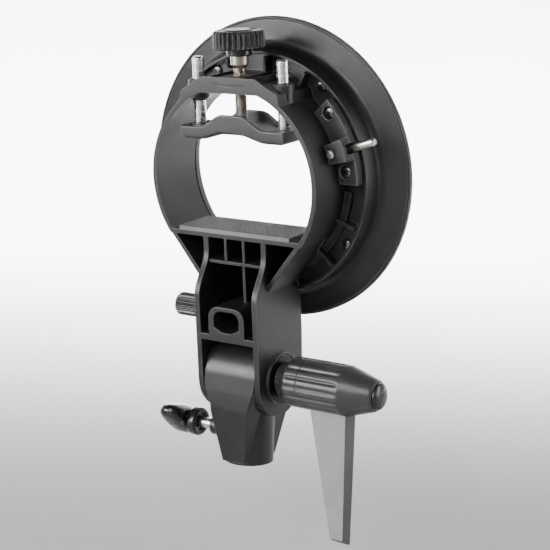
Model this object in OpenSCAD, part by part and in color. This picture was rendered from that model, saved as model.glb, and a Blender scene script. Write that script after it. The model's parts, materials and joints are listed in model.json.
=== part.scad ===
// Umbrella swivel bracket: a stand adapter with a tilting head that holds a speedlight in a
// round collar, a light shaper on its front ring and an umbrella shaft under the collar.
// Millimetres, +Z up. The origin is the centre of the stand socket's mouth, +Y is the front
// (the shaper's side) and +X is the tilt lever's side.

/* [Stand adapter] */
// Bore for the stand's spigot
socket_bore_d = 16.2; // [14:0.1:18]
// Wall round the spigot bore
socket_wall = 4.8; // [4:0.1:7]
// Depth of the spigot bore
socket_depth = 34; // [26:1:36]
// Radius of the drum that the head tilts on
drum_r = 19; // [16:0.5:22]
// Half width of a skirt at its foot
skirt_foot = 6.8; // [4:0.1:10]
// How far the skirts stand out in front and behind at the drum
skirt_reach = 19.5; // [18:0.1:22]
// How far the skirts stand out at their feet
skirt_foot_reach = 14.2; // [13.5:0.1:17]

/* [Tilt joint] */
// Height of the tilt axis above the socket's mouth
pivot_z = 46.4; // [42:0.1:60]
// Tilt of the head at rest, front up
rest_tilt = 6; // [-30:1:30]
// Diameter of the tilt bolt
tilt_bolt_d = 8; // [6:1:10]
// Clear width between the fork plates
fork_gap = 32.2; // [28:0.1:40]
// Thickness of a fork plate
fork_plate = 3.1; // [2.5:0.1:5]
// Radius of the fork plates' round ends
fork_r = 19.6; // [18:0.1:23]
// Thickness of a friction disc
disc_t = 1.2; // [0.8:0.1:2]

/* [Collar and platform] */
// Height of the collar's centre above the tilt axis
ring_z = 102; // [96:0.5:125]
// Outer radius of the collar
collar_r = 49.7; // [46:0.1:58]
// Wall of the collar
collar_wall = 2.5; // [2:0.1:3.5]
// Rear edge of the collar
collar_rear = -9.9; // [-20:0.1:-8]
// Front face of the collar's floor, where the dish is screwed on
floor_front = 22.6; // [20:0.1:30]
// Thickness of the collar's floor
floor_t = 2.2; // [1.8:0.1:3]
// Depth of the platform's top below the collar's centre
platform_drop = 26.8; // [22:0.1:32]
// Thickness of the platform
platform_t = 2.5; // [2:0.1:4]
// Half width of the platform pad
pad_half_w = 33.6; // [20:0.1:38]
// Thickness of the platform pad
pad_t = 2; // [1:0.1:3]

/* [Bridge and clamp] */
// Height of the bridge's flat top above the collar's centre
bridge_top = 52; // [49:0.1:56]
// Height of the bridge's flat underside above the collar's centre
bridge_under = 44; // [42:0.1:46]
// Diameter of the guide rods
rod_d = 6; // [4:0.1:7]
// Distance of a guide rod from the middle
rod_x = 25.5; // [22:0.1:27]
// Top of the guide rods above the collar's centre
rod_top = 60.5; // [56:0.1:70]
// Distance of the clamp screw and the rods in front of the collar's origin
clamp_y = 1.2; // [-2:0.1:6]
// Diameter of the clamp screw
clamp_screw_d = 6.2; // [5:0.1:8]
// Radius of the clamp knob
clamp_knob_r = 13; // [10:0.1:16]
// Half width of the jaw
jaw_half_w = 31.5; // [30.5:0.1:33]
// Height of the jaw's wings above the collar's centre
jaw_z = 21.4; // [16:0.1:22]

/* [Front ring] */
// Outer radius of the dish
dish_r = 78.1; // [74:0.1:95]
// Radius of the dish's round shell at its lip
lip_r = 62.3; // [61:0.1:66]
// Rear edge of the dish's lip
lip_y = 16.4; // [14:0.1:18]
// Bore of the accessory mount
mount_bore_r = 50.2; // [48:0.1:53]
// Depth of the bayonet slots beyond the bore
slot_depth = 4.6; // [3:0.1:5]

/* [Latch] */
// Angle of the latch pin round the collar
latch_angle = 17.3; // [10:0.1:30]
// Diameter of the latch pin
latch_pin_d = 4.4; // [3:0.1:4.6]
// Travel of the latch pin
latch_travel = 4.5; // [3:0.1:4.5]

/* [Umbrella tube] */
// Half width of the umbrella tube's opening
tube_half_w = 7.7; // [5:0.1:9]
// Height of the umbrella tube's axis above the tilt axis
tube_z = 32; // [32:0.1:36]

/* [Tilt lever] */
// Radius of the lever's serrated hub
hub_r = 8.8; // [8:0.1:10]
// Radius of the lever's barrel
barrel_r = 13; // [11.5:0.1:16]
// Reach of the lever arm below the tilt axis
arm_reach = 77.5; // [50:0.5:100]

/* [Stand lock] */
// Height of the lock screw above the socket's mouth
lock_z = 15; // [12:0.1:18]
// Diameter of the lock screw
lock_screw_d = 6; // [5:0.1:7]
// Length of the T-shaped handle
handle_len = 36; // [30:0.5:50]

/* [Hidden] */
$fn = 96;

// Clearances
run = 0.05;      // radial clearance of a piece that turns or slides in a bore
seat = 0.02;     // radial clearance of a piece that is fixed in a bore
gap = 0.05;      // clearance between flat faces that pass each other
cut = 1;         // how far a cutting solid runs past a face

// Stand adapter
socket_r = socket_bore_d / 2 + socket_wall;
drum_half_w = fork_gap / 2 - 0.4;
disc_r = drum_r - 5;
disc_sink = disc_t - 0.4 + gap;
lock_boss_x = -22.5;
lock_boss_r = 5.2;
lock_insert_r = 4.1;
lock_insert_in = -socket_r + 1;
lock_tip_x = -socket_bore_d / 2 - 3.7;
lock_pad_x = -socket_bore_d / 2 - 0.2;
lock_hub_x = -31;
lock_hub_r = 7.6;
handle_x = -36;
handle_t = 14;
handle_h = 8.4;
handle_roll = -27;

// Fork, web and tilt joint
fork_x = fork_gap / 2 + fork_plate;
fork_shoulder_z = 44;
fork_waist_z = 66;
neck_front = floor_front - floor_t;
wall_t = 2.2;
web_z = drum_r + 2.5;
web_t = 3.3;
bolt_r = tilt_bolt_d / 2;
bolt_head_t = 4;
bolt_head_r = 8;
washer_t = 1.2;
bolt_end = 38;
rim_r = hub_r + 4.9;
rim_t = 1.1;
rim_h = 1.3;

// Collar, platform, ribs
collar_in = collar_r - collar_wall;
platform_top = -platform_drop;
platform_z = platform_top - platform_t;
pad_rear = collar_rear - 0.5;
pad_front = 15.2;
vee_top_x = 39.6;
vee_t = 2.2;
vee_foot_z = platform_z - 25;
rib_t = 1.7;
rib_rear = 14;
rib_step = 23;
rib_first = 61;
rib_count = 13;
rib_gap = 0.35;
shelf_z = platform_z - 13;
shelf_t = 1.6;
pocket_rib_x = 5.5;

// Umbrella tube
tube_wall = 3.3;
tube_low = tube_z - 5.5;
tube_high = tube_z + 5.5;
tube_top_t = 2.2;
umb_boss_x = -fork_x - 3.3;
umb_boss_r = 6;
umb_screw_r = 2.5;
umb_insert_r = 3.7;
umb_pad_in = -tube_half_w + 1.1;
umb_tip_x = umb_pad_in - 3;
umb_knob_x = umb_boss_x - 6.5;
umb_knob_len = 15;
umb_knob_r = 6.1;

// Bridge and clamp, heights above the collar's centre
bridge_flat = 16;
bridge_half_w = 30;
bush_r = 4.2;
bush_boss_r = 5.6;
bush_low = bridge_under - 5.4;
bush_high = bridge_under + 5.4;
nut_r = 5;
screw_r = clamp_screw_d / 2;
shank_z = bridge_top + 3.8;
shank_r = 4.5;
knob_hub_z = bridge_top + 9.7;
knob_z = bridge_top + 13;
knob_t = 9.5;
jaw_rear = -9;
jaw_front = 12;
jaw_wing_t = 5.4;
jaw_arch_top = 6.6;
jaw_arch_under = 3.3;
jaw_rim = 2;
jaw_floor_t = 2.6;
jaw_plate_t = 1.2;
jaw_pad_t = 1.2;
foot_r = 2.4;
foot_washer_r = 4.2;
foot_washer_t = 1;

// Front ring, along +Y from the collar's origin
shell_in = lip_r - 1.6;
groove_r = mount_bore_r + slot_depth + 0.9;
plate_y = floor_front + 4.9;
plate_t = 3.5;
plate_r = shell_in - 0.2;
slot_count = 3;
slot_angle = 28;
slot_first = 30;
screw_circle_r = 58;
frame_screw_angles = [52, 118.5, 164.5, 211, 325.5];

// Latch
latch_r = groove_r - latch_pin_d / 2 - 0.5;
latch_pin_r = latch_pin_d / 2;
latch_pin_rear = 1.5;
housing_rear = 10.7;
housing_front = 17.4;
housing_r = shell_in - 0.35;
housing_low = latch_angle - 17.8;
housing_high = latch_angle + 25.7;
box_rear = 3.4;
box_spread = 5.4;
box_wall = 1.2;
box_step = 0.3;
rod_y = 13.8;
rod_r = 2.2;
rod_end = lip_r + 10.2;
carrier_rear = 11.5;
carrier_front = 16.2;
carrier_out = latch_r + 3.4;
shelf_low = -1;
shelf_high = 43.6;
latch_screw_high = [37.3, 56.4];
latch_screw_low = [6.2, 54.2];
latch_screw_end = floor_front - 1.2;
screw_sink = 1.8;

// Tilt lever, along +X
thrust_r = hub_r + 3.5;
thrust_in = fork_x;
hub_in = thrust_in + washer_t;
hub_out = 48;
barrel_in = 27.2;
barrel_out = 60;
nose_out = 76.5;
nose_r = 7.8;
shoulder_x = hub_out + 0.2;
shoulder_t = 2.8;
cavity_r = 5.6;
lever_screw_r = 3;
lever_screw_head_x = 68;
cap_out = 79.4;
cap_r = 6.8;
arm_in = 40;
arm_out = 61;
arm_tip_w = 6.6;
arm_t = 10;
arm_tip_t = 7.4;
arm_tip_slant = 3.6;

// Places

module about_pivot() {
    translate([0, 0, pivot_z]) rotate([rest_tilt, 0, 0]) children();
}

module at_ring() {
    about_pivot() translate([0, 0, ring_z]) children();
}

module at_axis() {
    translate([0, 0, pivot_z]) children();
}

module at_latch() {
    at_ring() rotate([0, -latch_angle, 0]) children();
}

module both_sides() {
    children();
    mirror([1, 0, 0]) children();
}

// Shapes

module along_x(x0, x1, r) {
    translate([x0, 0, 0]) rotate([0, 90, 0]) cylinder(h = x1 - x0, r = r);
}

module cone_x(x0, x1, r0, r1) {
    translate([x0, 0, 0]) rotate([0, 90, 0]) cylinder(h = x1 - x0, r1 = r0, r2 = r1);
}

module along_y(y0, y1, r) {
    translate([0, y0, 0]) rotate([-90, 0, 0]) cylinder(h = y1 - y0, r = r);
}

// A solid of revolution about Y, from an outline in (radius, y)
module ring_turn() {
    rotate([-90, 0, 0]) rotate_extrude() children();
}

// The same, between two angles measured from +X towards +Z
module ring_sector(a0, a1) {
    rotate([-90, 0, 0]) rotate([0, 0, -a1]) rotate_extrude(angle = a1 - a0) children();
}

module box_ry(r0, r1, y0, y1) {
    translate([r0, y0]) square([r1 - r0, y1 - y0]);
}

// An outline in (x, z), drawn out from y0 to y1
module slab_y(y0, y1) {
    translate([0, y1, 0]) rotate([90, 0, 0]) linear_extrude(y1 - y0) children();
}

// An outline in (y, z), drawn out from x0 to x1
module slab_x(x0, x1) {
    translate([x0, 0, 0]) rotate([90, 0, 90]) linear_extrude(x1 - x0) children();
}

module block(x0, x1, y0, y1, z0, z1) {
    translate([x0, y0, z0]) cube([x1 - x0, y1 - y0, z1 - z0]);
}

// Points along an arc, for the round stretches of an outline
function arc(centre, r, a0, a1, steps) =
    [for (i = [0 : steps]) let (a = a0 + (a1 - a0) * i / steps) centre + r * [cos(a), sin(a)]];

module rounded_top(half_w, z0, z1, r) {
    polygon(concat([[-half_w, z0], [half_w, z0]], arc([half_w - r, z1 - r], r, 0, 90, 6),
                   arc([r - half_w, z1 - r], r, 90, 180, 6)));
}

module rounded_bar(x0, x1, y0, y1, r) {
    polygon(concat(arc([x0 + r, y0 + r], r, 180, 270, 6), arc([x1 - r, y0 + r], r, 270, 360, 6),
                   arc([x1 - r, y1 - r], r, 0, 90, 6), arc([x0 + r, y1 - r], r, 90, 180, 6)));
}

// A round outline with grooves cut along its edge
module fluted(r, count, depth) {
    difference() {
        circle(r = r);
        for (i = [0 : count - 1]) rotate(i * 360 / count)
            translate([r + depth * 0.2, 0]) circle(r = depth * 1.2, $fn = 16);
    }
}

// Goes from 0 at x0 to 1 at x1 with level ends
function ease(x, x0, x1) =
    x <= x0 ? 0 : x >= x1 ? 1 : (1 - cos(180 * (x - x0) / (x1 - x0))) / 2;

function jaw_top(x) = jaw_z + jaw_wing_t + jaw_arch_top * (1 - ease(abs(x), 5, 20));
function jaw_under(x) = jaw_z + jaw_arch_under * (1 - ease(abs(x), 4, 20));

// Stand adapter

module skirt_side() {
    polygon([[0, pivot_z], [drum_r, pivot_z], [skirt_reach, pivot_z - 8],
             [skirt_reach, 28], [skirt_foot_reach, 1.5], [0, 1.5]]);
}

module skirt_face() {
    polygon([[-drum_half_w, pivot_z], [-drum_half_w + 0.8, pivot_z - 6], [-11.8, 32],
             [-skirt_foot, 1.5], [skirt_foot, 1.5], [11.8, 32],
             [drum_half_w - 0.8, pivot_z - 6], [drum_half_w, pivot_z]]);
}

module stand_adapter() {
    color("#222325") difference() {
        union() {
            cylinder(h = pivot_z, r = socket_r);
            at_axis() along_x(-drum_half_w, drum_half_w, drum_r);
            intersection() {
                slab_x(-drum_half_w, drum_half_w) {
                    skirt_side();
                    mirror([1, 0]) skirt_side();
                }
                slab_y(-skirt_reach - cut, skirt_reach + cut) skirt_face();
            }
            translate([0, 0, lock_z]) along_x(lock_boss_x, -socket_r + 2, lock_boss_r);
        }
        translate([0, 0, -cut]) cylinder(h = socket_depth + cut, r = socket_bore_d / 2);
        at_axis() along_x(-fork_gap, fork_gap, bolt_r + run);
        at_axis() both_sides()
            along_x(drum_half_w - disc_sink, drum_half_w + cut, disc_r + seat);
        translate([0, 0, lock_z]) {
            along_x(lock_boss_x - cut, lock_insert_in, lock_insert_r + seat);
            along_x(lock_insert_in - cut, 0, lock_screw_d / 2 + run);
        }
    }
}

module friction_discs() {
    color("#5a4a3c") at_axis() both_sides() difference() {
        along_x(drum_half_w - disc_sink, drum_half_w - disc_sink + disc_t, disc_r);
        along_x(0, fork_gap, bolt_r + run);
    }
}

module lock_insert() {
    color("#b08d57") translate([0, 0, lock_z]) difference() {
        along_x(lock_boss_x, lock_insert_in, lock_insert_r);
        along_x(lock_boss_x - cut, 0, lock_screw_d / 2 + run);
    }
}

module pressure_pad() {
    color("#d8d8d8") translate([0, 0, lock_z])
        along_x(lock_tip_x, lock_pad_x, lock_screw_d / 2);
}

module lock_screw() {
    color("silver") translate([0, 0, lock_z])
        along_x(lock_hub_x - 4, lock_tip_x, lock_screw_d / 2);
}

module lock_handle() {
    color("#101012") translate([0, 0, lock_z]) rotate([handle_roll, 0, 0]) difference() {
        union() {
            along_x(handle_x, lock_hub_x, lock_hub_r);
            translate([0, 0, -handle_h / 2]) linear_extrude(handle_h)
                rounded_bar(handle_x - handle_t, handle_x, -handle_len / 2, handle_len / 2,
                            handle_t * 0.48);
        }
        along_x(lock_hub_x - 4 - seat, lock_hub_x + cut, lock_screw_d / 2 + seat);
    }
}

// Main frame

module fork_outline() {
    top = ring_z + platform_z + 0.5;
    drop = fork_waist_z - fork_shoulder_z;
    polygon(concat(
        arc([0, 0], fork_r, 180, 360, 24),
        [[neck_front, web_z], [neck_front, top], [collar_rear, top]],
        [for (i = [0 : 12]) [collar_rear - (fork_r + collar_rear) * ease(i, 0, 12),
                             fork_waist_z - drop * i / 12]]));
}

module fork_plates() {
    both_sides() {
        slab_x(fork_gap / 2, fork_x) fork_outline();
        along_x(fork_x, fork_x + rim_h, rim_r);
    }
    translate([0, 0, tube_z]) along_x(umb_boss_x, -fork_gap / 2, umb_boss_r);
}

module umbrella_tube() {
    slab_y(-fork_r, neck_front)
        rounded_top(tube_half_w + tube_wall, web_z, tube_high + tube_top_t, 6);
}

module umbrella_hole() {
    slab_y(-fork_r - cut, neck_front + cut) {
        translate([0, tube_low + 2.3]) rounded_top(tube_half_w, 0, tube_high - tube_low - 2.3, 4.2);
        polygon([[-tube_half_w, tube_low + 2.4], [-3, tube_low], [3, tube_low],
                 [tube_half_w, tube_low + 2.4]]);
    }
}

// Web over the drum, front wall, shelf and ribs between the fork plates
module neck_webs() {
    top = ring_z + platform_z + 0.5;
    block(-fork_gap / 2, fork_gap / 2, -fork_r, neck_front, web_z, web_z + web_t);
    block(-fork_gap / 2, fork_gap / 2, neck_front - wall_t, neck_front, web_z, top);
    block(-fork_gap / 2, fork_gap / 2, collar_rear, neck_front,
          ring_z + shelf_z, ring_z + shelf_z + shelf_t);
    both_sides() block(pocket_rib_x - rib_t / 2, pocket_rib_x + rib_t / 2, collar_rear, neck_front,
                       ring_z + shelf_z, top);
    block(3.2 - rib_t / 2, 3.2 + rib_t / 2, -7, neck_front, tube_high, ring_z + shelf_z + 0.5);
}

module vee_outline() {
    low = [fork_x + 0.5, vee_foot_z];
    high = [vee_top_x, platform_z + 0.5];
    polygon([low - [3.4, 0], low, high, high - [vee_t * 1.3, 0]]);
}

module platform() {
    intersection() {
        block(-collar_r, collar_r, collar_rear, neck_front, platform_z, platform_top);
        along_y(collar_rear - cut, floor_front, collar_r);
    }
    both_sides() slab_y(collar_rear, neck_front) vee_outline();
    // Wall that closes the pockets under the platform
    intersection() {
        block(-collar_r, collar_r, neck_front - wall_t, neck_front, -collar_r, platform_z + 1);
        along_y(collar_rear, floor_front, collar_in + 1);
    }
}

module collar_shell() {
    difference() {
        ring_turn() box_ry(collar_in, collar_r, collar_rear, floor_front);
        block(-collar_r, collar_r, collar_rear - cut, rib_rear - 1, -collar_r - cut, platform_z + 0.1);
    }
}

module collar_floor() {
    ring_turn() box_ry(collar_in, shell_in - seat, floor_front - floor_t, floor_front);
    for (i = [0 : rib_count - 1]) rotate([0, -(rib_first + rib_step * i), 0])
        block(collar_in + 1, shell_in - rib_gap, rib_rear, floor_front - 0.5, -rib_t / 2, rib_t / 2);
    // Closed shelf under the latch
    ring_sector(shelf_low, shelf_high)
        box_ry(collar_in + 1, shell_in - rib_gap, housing_front + gap, floor_front - 0.5);
    // Ledge round the collar's foot
    ring_sector(-72, -6) box_ry(collar_in + 1, collar_r + 3.6, 17, floor_front - 0.5);
}

module bridge_outline() {
    inner_z = sqrt(pow(collar_in, 2) - pow(bridge_half_w, 2));
    outer_z = sqrt(pow(collar_r, 2) - pow(bridge_half_w, 2));
    half = [[bridge_half_w - 9.5, bridge_under], [bridge_half_w, inner_z],
            [bridge_half_w, outer_z], [bridge_half_w - 1, bridge_top - 7.2],
            [bridge_flat, bridge_top]];
    polygon(concat(half, [for (i = [4 : -1 : 0]) [-half[i][0], half[i][1]]]));
}

module bridge() {
    slab_y(collar_rear, neck_front + 1) bridge_outline();
    both_sides() translate([rod_x, clamp_y, 0]) {
        translate([0, 0, bush_low + 1]) cylinder(h = bush_high - bush_low - 1.6, r = bush_boss_r);
    }
}

// Open pockets in the bridge's top, between its ribs
module bridge_pockets() {
    floor_z = bridge_under + 2.4;
    both_sides() for (x = [7.6, 14.6])
        block(x, x + 5.4, collar_rear + 2.6, neck_front - wall_t, floor_z, bridge_top + cut);
}

module clamp_holes() {
    translate([0, clamp_y, 0]) {
        cylinder(h = bridge_top + cut, r = nut_r + seat);
        both_sides() translate([rod_x, 0, 0]) cylinder(h = rod_top, r = bush_r + seat);
    }
}

// A place given as the angle round the collar and the distance from its centre
module latch_screw_at(place) {
    rotate([0, -place[0], 0]) translate([place[1], 0, 0]) children();
}

module frame_holes() {
    rotate([0, -latch_angle, 0]) translate([latch_r, 0, 0])
        along_y(0, floor_front + cut, latch_pin_r + run);
    for (place = [latch_screw_high, latch_screw_low]) latch_screw_at(place)
        along_y(0, latch_screw_end + 0.3, 1.25 + seat);
    for (a = frame_screw_angles) rotate([0, -a, 0]) translate([screw_circle_r, 0, 0])
        along_y(0, floor_front + cut, 1.5 + seat);
}

module main_frame() {
    color("#2b2c2e") at_ring() difference() {
        union() {
            collar_shell();
            collar_floor();
            platform();
            bridge();
            translate([0, 0, -ring_z]) {
                fork_plates();
                neck_webs();
                umbrella_tube();
            }
        }
        bridge_pockets();
        clamp_holes();
        frame_holes();
        translate([0, 0, -ring_z]) {
            umbrella_hole();
            along_x(-2 * fork_x, 2 * fork_x, bolt_r + seat);
            both_sides() along_x(fork_x, fork_x + rim_h + cut, rim_r - rim_t);
            translate([0, 0, tube_z]) {
                along_x(umb_boss_x - cut, -fork_gap / 2 + cut, umb_insert_r + seat);
                along_x(-fork_gap, 0, umb_screw_r + run);
            }
        }
    }
}

// Front ring

module dish_outline() {
    fillet = [for (i = [0 : 8]) let (a = 90 * i / 8)
        [lip_r + 0.9 + 4.8 * (1 - cos(a)), floor_front + 1.9 + 4.8 * sin(a)]];
    rim_y = floor_front + 9;
    polygon(concat(
        [[shell_in, lip_y], [lip_r, lip_y]],
        fillet,
        [[dish_r - 1.6, rim_y], [dish_r - 1.1, rim_y - 0.7], [dish_r, rim_y - 0.2],
         [dish_r, rim_y + 2.6], [dish_r - 1.2, rim_y + 2.6], [dish_r - 2.2, rim_y + 1.9],
         [lip_r + 4, plate_y + plate_t + 0.6], [shell_in, plate_y + plate_t + 0.2],
         [shell_in, plate_y - gap], [groove_r, plate_y - gap], [groove_r, floor_front + gap],
         [shell_in, floor_front + gap]]));
}

module dish_ring() {
    color("#2f3032") at_ring() difference() {
        ring_turn() dish_outline();
        ring_sector(112, 119) box_ry(shell_in - cut, lip_r + 3, lip_y + 1.4, lip_y + 5.4);
        // Notch that the neck passes through
        block(-fork_x - 0.4, fork_x + 0.4, lip_y - cut, neck_front + 0.3, -lip_r - cut, -collar_r);
        for (a = frame_screw_angles) rotate([0, -a, 0]) translate([screw_circle_r, 0, 0])
            along_y(0, floor_front + 4, 1.5 + seat);
        for (a = mount_screw_angles()) rotate([0, -a, 0]) translate([screw_circle_r, 0, 0])
            along_y(floor_front + 1, plate_y + cut, 1.25 + seat);
    }
}

function mount_screw_angles() =
    [for (i = [0 : slot_count - 1], side = [-22, 22]) slot_first + 60 + i * 120 + side];

module mount_plate() {
    color("#3a3b3d") at_ring() difference() {
        ring_turn() box_ry(mount_bore_r, plate_r, plate_y, plate_y + plate_t);
        for (i = [0 : slot_count - 1]) ring_sector(slot_first + 120 * i - slot_angle / 2,
                                                    slot_first + 120 * i + slot_angle / 2)
            box_ry(mount_bore_r - cut, mount_bore_r + slot_depth, plate_y - cut,
                   plate_y + plate_t + cut);
        for (a = mount_screw_angles()) rotate([0, -a, 0]) translate([screw_circle_r, 0, 0]) {
            along_y(plate_y - cut, plate_y + plate_t + cut, 1.25 + seat);
            along_y(plate_y + plate_t - 1.5 - seat, plate_y + plate_t + cut, 2.3 + seat);
        }
    }
}

module mount_screws() {
    color("silver") at_ring() for (a = mount_screw_angles()) rotate([0, -a, 0])
        translate([screw_circle_r, 0, 0]) {
            along_y(floor_front + 1.5, plate_y + plate_t - 1, 1.25);
            along_y(plate_y + plate_t - 1.5, plate_y + plate_t, 2.3);
        }
}

module frame_screws() {
    color("silver") at_ring() for (a = frame_screw_angles) rotate([0, -a, 0])
        translate([screw_circle_r, 0, 0]) {
            along_y(neck_front - 1, floor_front + 3.8, 1.5);
            along_y(neck_front - 1.7, neck_front, 2.6);
        }
}

module platform_pad() {
    color("#6d6e70") at_ring()
        block(-pad_half_w, pad_half_w, pad_rear, pad_front, platform_top, platform_top + pad_t);
}

// Clamp

module bridge_nut() {
    color("#b08d57") at_ring() translate([0, clamp_y, 0]) difference() {
        translate([0, 0, bridge_under + 0.3])
            cylinder(h = bridge_top - bridge_under - 0.5, r = nut_r);
        cylinder(h = bridge_top + cut, r = screw_r + run);
    }
}

module guide_bushes() {
    color("#1b1b1d") at_ring() both_sides() translate([rod_x, clamp_y, bush_low]) difference() {
        cylinder(h = bush_high - bush_low, r = bush_r);
        translate([0, 0, -cut]) cylinder(h = rod_top, r = rod_d / 2 + run);
    }
}

function jaw_xs() = [for (i = [-15 : 15]) i * jaw_half_w / 15];

module jaw_outline() {
    polygon(concat([for (x = jaw_xs()) [x, jaw_under(x)]],
                   [for (i = [30 : -1 : 0]) let (x = jaw_xs()[i]) [x, jaw_top(x)]]));
}

// The tray's floor lies at an even depth over the underside
module jaw_layer(low, high, half_w) {
    xs = [for (x = jaw_xs()) if (abs(x) <= half_w) x];
    last = len(xs) - 1;
    polygon(concat([for (x = xs) [x, jaw_under(x) + low]],
                   [for (i = [last : -1 : 0]) [xs[i], jaw_under(xs[i]) + high]]));
}

module clamp_jaw() {
    foot_z = jaw_under(0) + jaw_floor_t;
    color("#303134") at_ring() difference() {
        slab_y(jaw_rear, jaw_front) jaw_outline();
        difference() {
            slab_y(jaw_rear + jaw_rim, jaw_front - jaw_rim)
                jaw_layer(jaw_floor_t, 20, jaw_half_w - jaw_rim);
            both_sides() translate([rod_x, clamp_y, 0]) cylinder(h = rod_top, r = 4.6);
        }
        both_sides() translate([rod_x, clamp_y, jaw_z + 2]) cylinder(h = rod_top, r = rod_d / 2 + seat);
        translate([0, clamp_y, foot_z - foot_washer_t - 0.8]) cylinder(h = 20, r = foot_washer_r + 0.5);
    }
}

module jaw_plate() {
    color("#c9c9c4") at_ring() difference() {
        slab_y(jaw_rear + jaw_rim + 0.2, jaw_front - jaw_rim - 0.2)
            jaw_layer(jaw_floor_t, jaw_floor_t + jaw_plate_t, 19);
        translate([0, clamp_y, 0]) cylinder(h = rod_top, r = foot_r + run);
    }
}

module jaw_pad() {
    color("#1a1a1a") at_ring()
        slab_y(jaw_rear + 1.5, jaw_front - 1.5) jaw_layer(-jaw_pad_t, 0, jaw_half_w - 2);
}

module guide_rods() {
    color("#e6e6e6") at_ring() both_sides() translate([rod_x, clamp_y, 0]) {
        translate([0, 0, jaw_z + 2]) cylinder(h = rod_top - jaw_z - 2.8, r = rod_d / 2);
        translate([0, 0, rod_top - 0.8]) cylinder(h = 0.8, r1 = rod_d / 2, r2 = rod_d / 2 - 0.7);
    }
}

module clamp_screw() {
    foot_z = jaw_under(0) + jaw_floor_t;
    thread_z = foot_z + jaw_plate_t + gap;
    color("#9a958c") at_ring() translate([0, clamp_y, 0]) {
        translate([0, 0, foot_z - foot_washer_t - 0.6])
            cylinder(h = thread_z - foot_z + foot_washer_t + 0.6, r = foot_r);
        translate([0, 0, thread_z]) cylinder(h = shank_z - thread_z, r = screw_r);
        translate([0, 0, shank_z]) cylinder(h = 1.4, r1 = screw_r, r2 = shank_r);
        translate([0, 0, shank_z + 1.4]) cylinder(h = knob_hub_z - shank_z - 1.4, r = shank_r);
        translate([0, 0, knob_hub_z]) cylinder(h = 8, r = 3);
    }
}

module clamp_knob() {
    color("#26272a") at_ring() translate([0, clamp_y, 0]) difference() {
        union() {
            translate([0, 0, knob_hub_z]) cylinder(h = knob_z - knob_hub_z, r = 6.35);
            translate([0, 0, knob_z]) linear_extrude(knob_t - 1) fluted(clamp_knob_r, 30, 0.8);
            translate([0, 0, knob_z + knob_t - 1]) cylinder(h = 1, r1 = clamp_knob_r - 0.9,
                                                            r2 = clamp_knob_r - 2.2);
        }
        translate([0, 0, knob_hub_z - cut]) cylinder(h = 8 + seat + cut, r = 3 + seat);
    }
}

module retaining_washer() {
    foot_z = jaw_under(0) + jaw_floor_t;
    color("silver") at_ring() translate([0, clamp_y, foot_z - foot_washer_t - 0.5]) difference() {
        cylinder(h = foot_washer_t, r = foot_washer_r);
        translate([0, 0, -cut]) cylinder(h = 2 * cut + foot_washer_t, r = foot_r + seat);
    }
}

// Latch

module latch_housing() {
    color("#333437") at_ring() difference() {
        union() {
            ring_sector(housing_low, housing_high)
                box_ry(collar_r + gap, housing_r, housing_rear, housing_front);
            ring_sector(latch_angle - box_spread, latch_angle + box_spread)
                box_ry(collar_r + gap + box_step, housing_r - box_step, box_rear, housing_rear + 1);
        }
        rotate([0, -latch_angle, 0]) {
            translate([latch_r, 0, 0]) along_y(0, 20, latch_pin_r + run);
            block(collar_r - 2, carrier_out + 0.3, box_rear + box_wall, housing_front + cut,
                  -3.1, 3.1);
            block(collar_r, housing_r + cut, carrier_rear - latch_travel - 0.3,
                  housing_front + cut, -rod_r - 0.3, rod_r + 0.3);
        }
        for (place = [latch_screw_high, latch_screw_low]) latch_screw_at(place) {
            along_y(0, housing_front + cut, 1.25 + seat);
            along_y(0, housing_rear + screw_sink, 3.1);
        }
    }
}

module latch_screws() {
    color("#1c1c1e") at_ring()
        for (place = [latch_screw_high, latch_screw_low]) latch_screw_at(place) {
            along_y(housing_rear + 1.6, latch_screw_end, 1.25);
            along_y(housing_rear + 0.2, housing_rear + screw_sink, 2.75);
        }
}

module latch_pin() {
    color("#e0e0e0") at_latch() translate([latch_r, 0, 0]) {
        along_y(latch_pin_rear + 0.6, plate_y - 1, latch_pin_r);
        translate([0, latch_pin_rear, 0]) rotate([-90, 0, 0])
            cylinder(h = 0.6, r1 = latch_pin_r - 0.6, r2 = latch_pin_r);
    }
}

module latch_carrier() {
    color("#8e8e90") at_latch() difference() {
        block(collar_r + 0.4, carrier_out, carrier_rear, carrier_front, -2.8, 2.8);
        translate([latch_r, 0, 0]) along_y(0, 20, latch_pin_r + seat);
        translate([0, rod_y, 0]) along_x(carrier_out - 0.9 - seat, carrier_out + cut, 1.2 + seat);
    }
}

module release_rod() {
    color("#c8c4b8") at_latch() translate([0, rod_y, 0]) {
        along_x(carrier_out - 0.9, carrier_out, 1.2);
        along_x(carrier_out, rod_end - 1, rod_r);
        cone_x(rod_end - 1, rod_end, rod_r, rod_r - 0.8);
    }
}

module latch_spring() {
    color("#9c9c9c") at_latch() translate([latch_r, 0, 0]) difference() {
        along_y(box_rear + box_wall, carrier_rear, latch_pin_r + 0.7);
        along_y(0, 20, latch_pin_r + 0.2);
    }
}

// Umbrella lock

module at_tube() {
    about_pivot() translate([0, 0, tube_z]) children();
}

module umbrella_insert() {
    color("#b08d57") at_tube() difference() {
        along_x(umb_boss_x, -fork_gap / 2, umb_insert_r);
        along_x(umb_boss_x - cut, 0, umb_screw_r + run);
    }
}

module umbrella_pad() {
    color("#d8d8d8") at_tube() along_x(umb_tip_x, umb_pad_in, umb_screw_r);
}

module umbrella_screw() {
    color("silver") at_tube() along_x(umb_knob_x - 5, umb_tip_x, umb_screw_r);
}

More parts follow.
